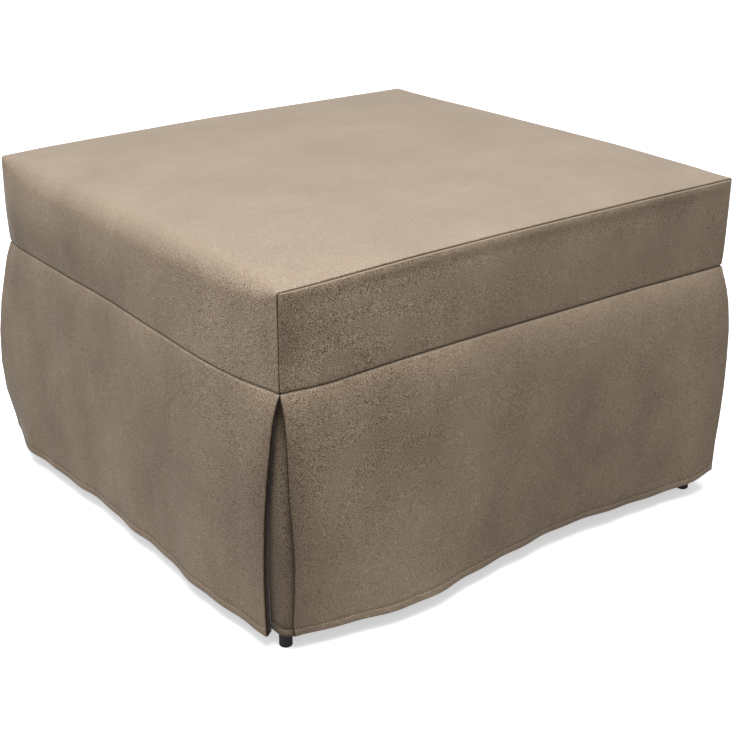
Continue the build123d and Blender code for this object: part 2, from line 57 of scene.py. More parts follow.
azimuth, elevation, roll = radians(34.16), radians(23.4), radians(-1.01)
look = Vector((sin(azimuth) * cos(elevation), cos(azimuth) * cos(elevation), -sin(elevation)))
level_right = look.cross(Vector((0, 0, 1))).normalized()
level_up = level_right.cross(look)
right = cos(roll) * level_right + sin(roll) * level_up
up = cos(roll) * level_up - sin(roll) * level_right
lens = bpy.data.cameras.new("lens")
lens.sensor_width = 36
lens.lens = 71.41
lens.shift_x, lens.shift_y = 0.0924, 0.0231
camera = bpy.data.objects.new("camera", lens)
camera_turn = Matrix((right, up, -look)).transposed().to_4x4()
camera.matrix_world = Matrix.Translation(camera_place) @ camera_turn
bpy.context.scene.collection.objects.link(camera)
bpy.context.scene.camera = camera
bpy.context.scene.view_settings.view_transform = "Standard"


# Studio: a white sheet on the floor, a pale sky all round and three soft lamps. The sheet and the
# sky look white in the picture, and the sheet throws back less light than it shows.
def linear(code):
    """Linear colour of an sRGB hex code."""
    parts = [int(code[i : i + 2], 16) / 255 for i in (1, 3, 5)]
    return (*[c / 12.92 if c <= 0.04045 else ((c + 0.055) / 1.055) ** 2.4 for c in parts], 1)


def add(material, kind, stops=(), **inputs):
    """New node in a material. A value sets the socket of that name, and a socket is linked to it.
    Names with a capital letter are sockets, with _ for a space, or I and the socket's number, and
    the others are properties. Stops are the two places and sRGB hex codes of a colour ramp."""
    tree = material.node_tree
    node = tree.nodes.new(kind)
    for i, (place, code) in enumerate(stops):
        node.color_ramp.elements[i].position = place
        node.color_ramp.elements[i].color = linear(code)
    for name, value in inputs.items():
        if name[0].islower():
            setattr(node, name, value)
            continue
        socket = node.inputs[int(name[1:])] if name[1:].isdigit() else node.inputs[name.replace("_", " ")]
        if isinstance(value, bpy.types.NodeSocket):
            tree.links.new(value, socket)
        else:
            socket.default_value = value
    return node


def finish(name, **inputs):
    """New material with one principled shader, whose sockets take values or links later."""
    material = bpy.data.materials.new(name)
    material.use_nodes = True
    shader = material.node_tree.nodes["Principled BSDF"]
    for socket, value in inputs.items():
        shader.inputs[socket.replace("_", " ")].default_value = value
    return material, shader


def seen_or_mirrored(material):
    """1 for rays that come from the camera or off something glossy or clear, and 0 for the rest."""
    path = add(material, "ShaderNodeLightPath").outputs
    result = path["Is Camera Ray"]
    for ray in ("Is Glossy Ray", "Is Transmission Ray"):
        result = add(material, "ShaderNodeMath", operation="MAXIMUM", I0=result, I1=path[ray]).outputs[0]
    return result


sheet_reach, sheet_glow, sky_level = 30, 0.55, 0.335
sheet_corners = [(x * sheet_reach, y * sheet_reach, 0) for x, y in ((-1, -1), (1, -1), (1, 1), (-1, 1))]
floor_mesh = bpy.data.meshes.new("floor")
floor_mesh.from_pydata(sheet_corners, [], [(0, 1, 2, 3)])
floor = bpy.data.objects.new("floor", floor_mesh)
bpy.context.scene.collection.objects.link(floor)
white_sheet, shader = finish(
    "white_sheet", Roughness=0.95, Specular_IOR_Level=0.0, Emission_Color=(1, 1, 1, 1)
)
seen = seen_or_mirrored(white_sheet)
tone = add(
    white_sheet, "ShaderNodeMix", data_type="RGBA", I0=seen, I6=linear("#6E6E6E"), I7=linear("#F6F6F6")
)
glow = add(white_sheet, "ShaderNodeMath", operation="MULTIPLY", I0=seen, I1=sheet_glow)
white_sheet.node_tree.links.new(tone.outputs[2], shader.inputs["Base Color"])
white_sheet.node_tree.links.new(glow.outputs[0], shader.inputs["Emission Strength"])
floor_mesh.materials.append(white_sheet)

sky = bpy.data.worlds.new("sky")
sky.use_nodes = True
bpy.context.scene.world = sky
background = sky.node_tree.nodes["Background"]
background.inputs["Color"].default_value = (1, 1, 1, 1)
level = add(sky, "ShaderNodeMapRange", Value=seen_or_mirrored(sky), To_Min=sky_level, To_Max=1.0)
sky.node_tree.links.new(level.outputs[0], background.inputs["Strength"])

# Name, direction towards the lamp, spread in degrees and strength
soft_suns = (("overhead_silk", (-0.16, -0.12, 1.0), 40, 2.33), ("left_silk", (-1.0, -0.35, 1.2), 50, 0.2))
cool_white = (0.95, 1.0, 1.11)
for name, source, spread, strength in soft_suns:
    lamp = bpy.data.lights.new(name, "SUN")
    lamp.angle, lamp.energy, lamp.color = radians(spread), strength, cool_white
    lamp_object = bpy.data.objects.new(name, lamp)
    lamp_object.rotation_euler = Vector(source).to_track_quat("Z", "Y").to_euler()
    bpy.context.scene.collection.objects.link(lamp_object)
box_place, box_aim = Vector((-0.72, -0.66, 1.45)), Vector((-0.25, -0.25, 0.45))
lamp = bpy.data.lights.new("front_corner_box", "AREA")
lamp.size, lamp.energy = 0.9, 7.4
lamp_object = bpy.data.objects.new("front_corner_box", lamp)
lamp_object.location = box_place
lamp_object.rotation_euler = (box_place - box_aim).to_track_quat("Z", "Y").to_euler()
bpy.context.scene.collection.objects.link(lamp_object)


# Frame tubes and leg loops: steel tube with a black powder coat, baked on, so it is satin with a
# faint orange peel of about 1.5 mm. In patches of about 110 mm it is a little duller and greyer.
powder_coat, shader = finish("black_powder_coat", Roughness=0.42, Specular_IOR_Level=0.5)
place = add(powder_coat, "ShaderNodeTexCoord").outputs["Object"]
peel = add(
    powder_coat, "ShaderNodeTexNoise", Vector=place, Scale=650, Detail=1, Roughness=0.5
).outputs["Fac"]
patches = add(
    powder_coat, "ShaderNodeTexNoise", Vector=place, Scale=9, Detail=4, Roughness=0.6
).outputs["Fac"]
colour = add(powder_coat, "ShaderNodeValToRGB", ((0.35, "#141416"), (0.7, "#1E1E20")), Fac=patches)
dust = add(
    powder_coat, "ShaderNodeMapRange", Value=patches, From_Min=0.3, From_Max=0.7, To_Min=0.38, To_Max=0.5
)
bump = add(powder_coat, "ShaderNodeBump", Strength=0.25, Distance=0.0003, Height=peel)
powder_coat.node_tree.links.new(colour.outputs[0], shader.inputs["Base Color"])
powder_coat.node_tree.links.new(dust.outputs[0], shader.inputs["Roughness"])
powder_coat.node_tree.links.new(bump.outputs[0], shader.inputs["Normal"])


def dress(slot_name, material):
    """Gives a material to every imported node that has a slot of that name."""
    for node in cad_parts.values():
        for slot in node.material_slots:
            if slot.material.name == slot_name:
                slot.material = material


dress("frame_paint", powder_coat)


# Bolts, nuts and washers: steel with bright zinc plating, a metal with cloudy, slightly blue and
# straw coloured patches of about 6 mm. Its crystals are too fine to show, so they are drawn as a
# grain of 0.7 mm.
zinc, shader = finish("bright_zinc_plate", Metallic=1.0, Roughness=0.32)
place = add(zinc, "ShaderNodeTexCoord").outputs["Object"]
cloudy = add(zinc, "ShaderNodeTexNoise", Vector=place, Scale=160, Detail=3, Roughness=0.6).outputs["Fac"]
crystals = add(zinc, "ShaderNodeTexNoise", Vector=place, Scale=1400, Detail=2, Roughness=0.5).outputs["Fac"]
colour = add(zinc, "ShaderNodeValToRGB", ((0.3, "#BFC3C6"), (0.7, "#CBC8BC")), Fac=cloudy)
haze = add(zinc, "ShaderNodeMapRange", Value=cloudy, From_Min=0.3, From_Max=0.7, To_Min=0.25, To_Max=0.42)
bump = add(zinc, "ShaderNodeBump", Strength=0.15, Distance=0.0001, Height=crystals)
zinc.node_tree.links.new(colour.outputs[0], shader.inputs["Base Color"])
zinc.node_tree.links.new(haze.outputs[0], shader.inputs["Roughness"])
zinc.node_tree.links.new(bump.outputs[0], shader.inputs["Normal"])
dress("zinc_steel", zinc)


# Feet, plugs, slat holders and glides: injection moulded black polypropylene, with faint flow
# marks of about 17 mm. The spark eroded grain of the mould keeps it matt. It is too fine to show,
# so it is drawn 0.8 mm coarse.
polypropylene, shader = finish("black_polypropylene", Roughness=0.62, IOR=1.49, Specular_IOR_Level=0.25)
place = add(polypropylene, "ShaderNodeTexCoord").outputs["Object"]
spark = add(
    polypropylene, "ShaderNodeTexNoise", Vector=place, Scale=1200, Detail=2, Roughness=0.6
).outputs["Fac"]
flow = add(
    polypropylene, "ShaderNodeTexNoise", Vector=place, Scale=60, Detail=3, Roughness=0.5
).outputs["Fac"]
colour = add(polypropylene, "ShaderNodeValToRGB", ((0.3, "#060606"), (0.7, "#0D0D0D")), Fac=flow)
bump = add(polypropylene, "ShaderNodeBump", Strength=0.3, Distance=0.00015, Height=spark)
polypropylene.node_tree.links.new(colour.outputs[0], shader.inputs["Base Color"])
polypropylene.node_tree.links.new(bump.outputs[0], shader.inputs["Normal"])
dress("black_plastic", polypropylene)


# Slats: sliced poplar, laminated and thinly lacquered. The grain runs along the slat, in growth
# lines 8 mm apart with darker pores. The real pores are finer than the 1.1 mm that shows.
poplar, shader = finish("lacquered_poplar", Roughness=0.48, Coat_Weight=0.15, Coat_Roughness=0.3)
place = add(poplar, "ShaderNodeTexCoord").outputs["Object"]
drawn_out = add(poplar, "ShaderNodeMapping", Vector=place, Scale=(0.06, 1, 1)).outputs[0]
growth = add(
    poplar, "ShaderNodeTexNoise", Vector=drawn_out, Scale=130, Detail=4, Roughness=0.6, Distortion=0.6
).outputs["Fac"]
pores = add(poplar, "ShaderNodeTexNoise", Vector=drawn_out, Scale=900, Detail=2, Roughness=0.5).outputs["Fac"]
growth_colour, pore_tone = [
    add(poplar, "ShaderNodeValToRGB", stops, Fac=pattern).outputs[0]
    for pattern, stops in (
        (growth, ((0.3, "#C09A69"), (0.65, "#DDBE92"))), (pores, ((0.3, "#A08868"), (0.5, "#FFFFFF"))),
    )
]
colour = add(
    poplar, "ShaderNodeMix", data_type="RGBA", blend_type="MULTIPLY", I0=0.5, I6=growth_colour, I7=pore_tone
)
bump = add(poplar, "ShaderNodeBump", Strength=0.2, Distance=0.0002, Height=pores)
poplar.node_tree.links.new(colour.outputs[2], shader.inputs["Base Color"])
poplar.node_tree.links.new(bump.outputs[0], shader.inputs["Normal"])
dress("slat_wood", poplar)


# Mattress pads: three crowned foam pads, each sewn up in quilted cotton ticking, with a piping
# round both edges. Foam and ticking are one padded piece here, whose sides pull in a little
# between the corners and whose faces are stitched down in diamonds.
ticking, shader = finish(
    "cotton_ticking", Roughness=0.9, Specular_IOR_Level=0.2, Sheen_Weight=0.15, Sheen_Roughness=0.5
)
# The stripes are 14 mm apart and run the other way on the left and right sides. The weave's yarn
# of 0.5 mm is too fine for the picture, so it is drawn 1.1 mm coarse.
coordinates = add(ticking, "ShaderNodeTexCoord").outputs
place = coordinates["Object"]
sideways = add(ticking, "ShaderNodeSeparateXYZ", Vector=coordinates["Normal"]).outputs["X"]
sideways = add(ticking, "ShaderNodeMath", operation="ABSOLUTE", I0=sideways).outputs[0]
on_side = add(ticking, "ShaderNodeMath", operation="COMPARE", I0=sideways, I1=1.0, I2=0.3).outputs[0]
turned = add(ticking, "ShaderNodeMapping", Vector=place, Rotation=(0, 0, radians(90))).outputs[0]
length = add(ticking, "ShaderNodeMix", data_type="VECTOR", I0=on_side, I4=place, I5=turned).outputs[1]
stripes = add(
    ticking, "ShaderNodeTexWave", Vector=length, bands_direction="X", Scale=22.4, Distortion=0.0
).outputs["Fac"]
weave = add(ticking, "ShaderNodeTexNoise", Vector=place, Scale=900, Detail=2, Roughness=0.6).outputs["Fac"]
stripe_colour, weave_tone = [
    add(ticking, "ShaderNodeValToRGB", stops, Fac=pattern).outputs[0]
    for pattern, stops in (
        (stripes, ((0.80, "#E4DED2"), (0.86, "#B3A794"))), (weave, ((0.3, "#505050"), (0.7, "#B0B0B0"))),
    )
]
colour = add(
    ticking, "ShaderNodeMix", data_type="RGBA", blend_type="SOFT_LIGHT", I0=0.3,
    I6=stripe_colour, I7=weave_tone,
)
bump = add(ticking, "ShaderNodeBump", Strength=0.35, Distance=0.0004, Height=weave)
ticking.node_tree.links.new(colour.outputs[2], shader.inputs["Base Color"])
ticking.node_tree.links.new(bump.outputs[0], shader.inputs["Normal"])
dress("ticking", ticking)
dress("foam", ticking)
piping_cloth = finish(
    "cotton_piping", Base_Color=linear("#B3A794"), Roughness=0.85, Specular_IOR_Level=0.2
)[0]

pads_bottom, pad_pitch = 0.178, 0.090
pad_half_x, pad_half_y, pad_corner = 0.3434, 0.3384, 0.024
pad_roll, pad_draw_in = 0.016, 0.004
pad_half, pad_shoulder, pad_crown_run = 0.0447, 0.0399, 0.046
quilt_pitch, quilt_depth, quilt_half = 0.115, 0.0030, 0.0055
border_in, border_half, border_share, quilt_fade = 0.030, 0.0045, 0.7, 0.012
piping_radius, piping_sunk = 0.0021, 0.0004


def pad_plan(x, y, inset):
    """Where a point of the pad's square plan ends up: near a corner it moves onto a round one,
    and the sides draw in between the corners by a parabola."""
    half_x, half_y, corner = pad_half_x - inset, pad_half_y - inset, pad_corner
    over_x, over_y = np.abs(x) - (half_x - corner), np.abs(y) - (half_y - corner)
    on_corner = (over_x > 0) & (over_y > 0)
    reach = np.maximum(over_x, over_y) / np.maximum(np.hypot(over_x, over_y), 1e-9)
    x = np.where(on_corner, np.sign(x) * (half_x - corner + over_x * reach), x)
    y = np.where(on_corner, np.sign(y) * (half_y - corner + over_y * reach), y)
    drawn_x = x * (1 - pad_draw_in / pad_half_x * (1 - (y / pad_half_y) ** 2))
    return drawn_x, y * (1 - pad_draw_in / pad_half_y * (1 - (x / pad_half_x) ** 2))


def pad_face(count):
    """Upper half of a pad. Both parameters run from -1 to 1. The larger of the two says how far a
    point has gone from the middle over the crown, round the rolled edge and down the side. The
    face dips in the shape of a bell at the nearest of the diagonal seams and at the border."""
    wall, roll_run, level_run = pad_shoulder - pad_roll, pad_roll * pi / 2, pad_half_y - pad_roll
    whole = wall + roll_run + level_run
    u, v = np.meshgrid(np.linspace(-1, 1, count), np.linspace(-1, 1, count))
    ring = np.maximum(np.maximum(np.abs(u), np.abs(v)), 1e-9)
    gone = ring * whole
    turned = np.clip((gone - level_run) / pad_roll, 0, pi / 2)
    inset = np.where(gone < level_run, pad_half_y - gone, pad_roll * (1 - np.sin(turned)))
    share = (pad_half_y - inset) / pad_half_y
    x, y = pad_plan(u / ring * share * pad_half_x, v / ring * share * pad_half_y, inset)
    rise = (pad_half - pad_shoulder) * (1 - np.exp(-np.maximum(inset - pad_roll, 0) / pad_crown_run))
    height = pad_shoulder + rise - pad_roll * (1 - np.cos(turned))
    height = height - np.maximum(gone - level_run - roll_run, 0)
    diagonals = [np.abs((x + s * y) / quilt_pitch / 2**0.5 % 1 - 0.5) * quilt_pitch for s in (1, -1)]
    quilted = np.exp(-((np.minimum(*diagonals) / quilt_half) ** 2))
    quilted = quilted * np.clip((inset - border_in) / quilt_fade, 0, 1)
    border = np.exp(-(((inset - border_in) / border_half) ** 2))
    return np.stack([x, y, height - quilt_depth * np.maximum(quilted, border_share * border)], -1)


def grid_object(name, points, material, body, painted_shade=None):
    """Smooth mesh through a grid of points, rows first, that rides on a body."""
    rows, columns = points.shape[:2]
    index = np.arange(rows * columns).reshape(rows, columns)
    faces = np.stack([index[:-1, :-1], index[:-1, 1:], index[1:, 1:], index[1:, :-1]], -1).reshape(-1, 4)
    mesh = bpy.data.meshes.new(name)
    mesh.from_pydata(points.reshape(-1, 3).tolist(), [], faces.tolist())
    mesh.polygons.foreach_set("use_smooth", [True] * len(mesh.polygons))
    # Where given, the last argument is painted shade, kept on the points for the cloth's colour.
    if painted_shade is not None:
        attribute = mesh.attributes.new("painted_shade", "FLOAT", "POINT")
        attribute.data.foreach_set("value", np.broadcast_to(painted_shade, (rows, columns)).astype("f").ravel())
    mesh.materials.append(material)
    piece = bpy.data.objects.new(name, mesh)
    bpy.context.scene.collection.objects.link(piece)
    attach(piece, body)
    return piece


def close_up(mesh):
    """Joins the points of a mesh that lie on each other, so that its ends meet without a slit."""
    joined = bmesh.new()
    joined.from_mesh(mesh)
    bmesh.ops.remove_doubles(joined, verts=joined.verts, dist=1e-5)
    joined.to_mesh(mesh)
    joined.free()


upper = pad_face(181)
lower = upper * (1, 1, -1)
pads = (("lower", "end_section"), ("middle", "middle_pad"), ("top", "top_pad"))
for number, (pad_name, body) in enumerate(pads):
    middle = np.array([0, 0, pads_bottom + pad_pitch * (number + 0.5)])
    count = upper.shape[0]
    index = np.arange(count * count).reshape(count, count)
    quads = np.stack([index[:-1, :-1], index[:-1, 1:], index[1:, 1:], index[1:, :-1]], -1).reshape(-1, 4)
    faces = np.concatenate([quads, quads[:, ::-1] + count * count])
    points = np.concatenate([upper.reshape(-1, 3), lower.reshape(-1, 3)]) + middle
    mesh = bpy.data.meshes.new(f"{pad_name}_pad")
    mesh.from_pydata(points.tolist(), [], faces.tolist())
    mesh.polygons.foreach_set("use_smooth", [True] * len(mesh.polygons))
    close_up(mesh)
    mesh.materials.append(ticking)
    pad = bpy.data.objects.new(f"{pad_name}_pad", mesh)
    bpy.context.scene.collection.objects.link(pad)
    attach(pad, body)
    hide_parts(f"{pad_name}_ticking", f"{pad_name}_foam_core")
    around = np.linspace(-1, 1, 101)[:-1]
    edge = np.concatenate([
        np.stack([around, 0 * around - 1], -1), np.stack([0 * around + 1, around], -1),
        np.stack([-around, 0 * around + 1], -1), np.stack([0 * around - 1, -around], -1),
    ])
    inset = pad_roll * (1 - cos(radians(45))) + piping_sunk
    edge = edge * (pad_half_x - inset, pad_half_y - inset)
    x, y = pad_plan(edge[:, 0], edge[:, 1], inset + 0 * edge[:, 0])
    level = pad_shoulder - pad_roll * (1 - sin(radians(45))) - piping_sunk
    for end, facing in (("upper", 1), ("under", -1)):
        line = np.stack([x, y, 0 * x + facing * level], -1) + middle
        ahead = np.roll(line, -1, 0) - np.roll(line, 1, 0)
        ahead /= np.linalg.norm(ahead, axis=1, keepdims=True)
        outward = np.cross(ahead, (0, 0, 1))
        angle = np.linspace(0, 2 * pi, 11)[:, None, None]
        tube = line + piping_radius * (np.cos(angle) * outward + np.sin(angle) * np.array([0, 0, 1.0]))
        closed = np.concatenate([tube, tube[:, :1]], 1)
        close_up(grid_object(f"{pad_name}_pad_{end}_piping", closed, piping_cloth, body).data)


# Sewn pad hinges: a strip of ticking on the edge of each pad, that meets its neighbour's strip on
# the hinge line where the two are sewn together. It curves from the pad's edge to that line.
web_half, web_cloth = 0.264, 0.0012
web_root, web_reach = 0.3325, 0.0088
web_drop, web_climb = 0.0089, 0.0083
web_ripple, web_ripples = 0.0002, 160


def thicken(piece, thickness):
    """Gives a sheet its cloth's thickness, inwards from its face."""
    modifier = piece.modifiers.new("thickness", "SOLIDIFY")
    modifier.thickness, modifier.offset = thickness, -1
    bpy.context.view_layer.objects.active = piece
    with bpy.context.temp_override(object=piece, active_object=piece, selected_objects=[piece]):
        bpy.ops.object.modifier_apply(modifier=modifier.name)


# Each strip's number, how many pads lie under its hinge line, which end of the pad it is on, and
# 1 where it hangs under that line or -1 where it stands over it
for name, body, pad_name, strips in (
    ("lower", "end_section", "lower_pad", ((1, 1, -1, 1),)),
    ("middle", "middle_pad", "middle_pad", ((1, 1, -1, -1), (2, 2, 1, 1))),
    ("top", "top_pad", "top_pad", ((1, 2, 1, -1),)),
):
    for number, pads_below, end, below in strips:
        parting_level = pads_bottom + pad_pitch * pads_below
        x = np.linspace(-web_half, web_half, 60)[None, :]
        t = np.linspace(0, 1, 12)[:, None]
        y = end * (web_root + web_reach * t) + 0 * x
        z = parting_level - below * (web_drop - web_climb * np.sin(t * pi / 2) ** 1.2)
        z = z + web_ripple * np.sin(x * web_ripples) * np.sin(t * pi)
        points = np.stack([x + 0 * t, y, z], -1)[:: end * below]
        web = grid_object(f"{name}_web_{number}", points, ticking, body)
        thicken(web, web_cloth)
        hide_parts(f"{name}_hinge_webs")


# Cover cloth: a brushed woven microfibre. The short nap scatters light at a glancing angle, lies
# in lighter and darker clouds where it was stroked and hangs in faint streaks. Shade is painted
# dark into its seams, hollow, pleats and folds. The top is rubbed more even, and painted a little
# paler and cooler than the sides, a painted sheen. The nap stands up most round the near corner.
cover_cloth, shader = finish(
    "brushed_microfibre", Roughness=0.95, Specular_IOR_Level=0.1,
    Sheen_Weight=0.26, Sheen_Roughness=0.35, Sheen_Tint=linear("#FFF8F0"),
)
near_corner = (-0.35, -0.345, 0.36)
coordinates = add(cover_cloth, "ShaderNodeTexCoord").outputs
place = coordinates["Object"]
# The clouds are moved to lie about where the photograph has them, and drawn out downwards
hanging = add(
    cover_cloth, "ShaderNodeMapping", Vector=place, Location=(0.31, 0.17, 0.05), Scale=(1, 1, 0.7)
).outputs[0]
# A pattern's size in millimetres is 1000 over its scale: clouds 125, ripples 100, streaks 21 and
# grain 1.1. The real yarn of 0.4 mm is too fine for the picture, so its grain is drawn coarser.
clouds = add(
    cover_cloth, "ShaderNodeTexNoise", Vector=hanging, Scale=8, Detail=4, Roughness=0.6
).outputs["Fac"]
ripples = add(
    cover_cloth, "ShaderNodeTexNoise", Vector=hanging, Scale=10, Detail=1, Roughness=0.4
).outputs["Fac"]
streaks = add(
    cover_cloth, "ShaderNodeTexNoise", Vector=hanging, Scale=48, Detail=3, Roughness=0.55
).outputs["Fac"]
grain = add(
    cover_cloth, "ShaderNodeTexNoise", Vector=place, Scale=900, Detail=1, Roughness=0.8
).outputs["Fac"]
faces_up = add(cover_cloth, "ShaderNodeSeparateXYZ", Vector=coordinates["Normal"]).outputs["Z"]
# Painted light, partly: the sides take the full clouds, and the top, where it faces up, only 0.4 of them over
# a paler and cooler brown. So the top is more even, and also a little paler and cooler, a painted sheen. Its
# grain is weaker too.
sides_share = add(
    cover_cloth, "ShaderNodeMapRange", Value=faces_up, From_Min=0.3, From_Max=0.9, To_Min=1.0, To_Max=0.4
).outputs[0]
to_corner = add(
    cover_cloth, "ShaderNodeVectorMath", operation="DISTANCE", I0=place, I1=near_corner
).outputs["Value"]
handled = add(
    cover_cloth, "ShaderNodeMapRange", Value=to_corner, From_Min=0.05, From_Max=0.30, To_Min=1.2, To_Max=0.55
).outputs[0]
raised_nap = add(cover_cloth, "ShaderNodeMath", operation="MULTIPLY", I0=sides_share, I1=handled).outputs[0]
# Painted shade: a value kept on each piece's points, 1 where the cloth is painted darkest.
painted_shade = add(cover_cloth, "ShaderNodeAttribute", attribute_name="painted_shade").outputs["Fac"]
cloud_colour, streak_tone, grain_tone = [
    add(cover_cloth, "ShaderNodeValToRGB", stops, Fac=pattern).outputs[0]
    for pattern, stops in (
        (clouds, ((0.3, "#988570"), (0.7, "#B19C84"))),
        (streaks, ((0.35, "#5C5C5C"), (0.65, "#A4A4A4"))),
        (grain, ((0.36, "#000000"), (0.64, "#FFFFFF"))),
    )
]
# The last layer is painted shade: the colour is multiplied towards dark brown by the shade kept on each
# piece's points.
colour = linear("#AA9A87")
for blend, share, layer in (
    ("MIX", sides_share, cloud_colour), ("SOFT_LIGHT", 0.08, streak_tone),
    ("SOFT_LIGHT", raised_nap, grain_tone), ("MULTIPLY", painted_shade, linear("#4A3E34")),
):
    colour = add(
        cover_cloth, "ShaderNodeMix", data_type="RGBA", blend_type=blend, I0=share, I6=colour, I7=layer
    ).outputs[2]
soft_waves = add(cover_cloth, "ShaderNodeBump", Strength=0.4, Distance=0.012, Height=ripples).outputs[0]
bump = add(cover_cloth, "ShaderNodeBump", Strength=0.5, Distance=0.0006, Height=grain, Normal=soft_waves)
cover_cloth.node_tree.links.new(colour, shader.inputs["Base Color"])
cover_cloth.node_tree.links.new(bump.outputs[0], shader.inputs["Normal"])
dress("cover_cloth", cover_cloth)


# Top and side panel: one length of cloth that runs from the left waist seam up, over a soft edge,
# across the crowned top and down to the right waist seam. It is sewn to the front and back bands,
# and the soft edge tightens towards those seams.
half_width, half_depth = 0.350, 0.345
top_edge, waist, hem = 0.444, 0.330, 0.022
drop = waist - hem
cloth = 0.0015
crown, crown_run = 0.006, 0.042
seam_turn, waist_turn = 0.0032, 0.0060
seam_groove, seam_groove_half = 0.0013, 0.0010
waist_groove, waist_groove_half = 0.0015, 0.0012
waist_draw, waist_draw_run = 0.0009, 0.008
# The second is the half width of the painted shade along a seam.
pinch_fade, seam_shade_half = 0.025, 0.0011
corner_fade, belly_fade, belly_return = 0.02, 0.085, 0.3
seam_steps = np.array([0.0, 0.0008, 0.0016, 0.0026, 0.004, 0.006, 0.009, 0.013, 0.018, 0.025, 0.035])


def crumples(piece):
    """Gives a piece of the cover a mesh of its own. When the bed is unfolded, the cover lies flat on the base
    section's pad.
    """
    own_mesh(piece)


def near_edge(count):
    """Even places from -1 to 1, with closer ones near both ends for the seams."""
    return np.concatenate([-1 + seam_steps, np.linspace(-0.95, 0.95, count), (1 - seam_steps)[::-1]])


def corner_turn(height):
    """Radius of the cover's upright corners: tight at the top edge, and softer towards the waist by
    the power of one and a half of the way down."""
    t = np.clip((top_edge - height) / (top_edge - waist), 0, 1)
    return seam_turn + (waist_turn - seam_turn) * t**1.5


def pinch(height):
    """How far the cloth is drawn in where the band and the skirt are sewn together: a narrow
    groove in the shape of a bell and a wider dip that fades away exponentially."""
    away = np.abs(height - waist)
    groove = waist_groove * np.exp(-((away / waist_groove_half) ** 2))
    return groove + waist_draw * np.exp(-away / waist_draw_run)


def crown_at(x, y):
    """Rise of the top: it climbs away from the nearest edge in an exponential curve, so that it is
    level over the middle. The corners are rounded, with the fourth power of both distances."""
    to_x, to_y = np.maximum(half_width - np.abs(x), 1e-5), np.maximum(half_depth - np.abs(y), 1e-5)
    nearest = (to_x**-4 + to_y**-4) ** -0.25
    return crown * (1 - np.exp(-nearest / crown_run))


def seam_dip(distance):
    """Depth of the groove at a seam, in the shape of a bell."""
    return seam_groove * np.exp(-((distance / seam_groove_half) ** 2))


def seam_shade_at(distance):
    """How much painted shade lies at a distance from a seam: 1 on it, and less in the shape of a bell."""
    return np.exp(-((distance / seam_shade_half) ** 2))


def rim(distance, radius, height):
    """Place of a point near a corner seam: how far it lies from the seam's outer edge, and how
    deep it lies under its face. It follows an eighth of a turn and dips into the seam."""
    angle = np.clip(1 - distance / radius, 0, 1) * radians(45)
    aside = np.where(distance < radius, radius * (1 - np.sin(angle)), distance)
    aside = aside + seam_dip(distance) + pinch(height) * np.exp(-distance / pinch_fade)
    return aside, radius * (1 - np.cos(angle)) + seam_dip(distance)


# Millimetres round the cover from the front left corner, over front, right, back and left, and
# there: how much lower the waist seam hangs, how far it bulges out, how much the top edge rises
settled = np.array([
    (0, 2, 0, -1), (35, 2.5, 3.2, -0.5), (65, 2.5, 5.1, 0.3), (95, 1.8, 4, 1.2), (125, 1, 3.6, 2),
    (185, 0, 2.5, 3.2), (305, -1.2, 1.7, 4.2), (425, -1.6, 1.3, 4.3), (545, -2, 0.7, 4),
    (605, -1.2, 1.2, 3.5), (700, 0, 0, 2.5), (760, 2, 3, 7), (900, 4, 4, 9), (1050, 4.5, 5, 8),
    (1200, 4.5, 4.5, 7), (1390, 4, 0, 4), (1450, 4, 3, 5), (1740, 4, 2, 8), (2030, 4.5, 3, 6),
    (2090, 5, 0, 3), (2120, 5, 5, 3), (2180, 5, 5.7, 2.5), (2300, 5, 6, 2), (2360, 4.5, 5, 2),
    (2420, 5, 5.2, 2), (2480, 5.5, 7.5, 1.5), (2540, 6, 8.5, 1.2), (2600, 6, 10.5, 1),
    (2630, 6, 11, 0.8), (2660, 5.5, 11, 0.5), (2690, 5, 10, 0), (2720, 4, 8, -0.3), (2750, 3, 3.5, -0.6),
]) / 1000
girth = 4 * (half_width + half_depth)
girth_step, smoothed = 0.005, 5
round_it = np.arange(0, girth, girth_step)
round_and_on = np.arange(-smoothed, len(round_it) + smoothed) * girth_step
weight = np.hanning(2 * smoothed + 1)
lowered, bulged, raised = [
    np.convolve(np.interp(round_and_on, settled[:, 0], column, period=girth), weight / weight.sum(), "valid")
    for column in settled[:, 1:].T
]
rise_fade, rise_left = 0.06, 0.15


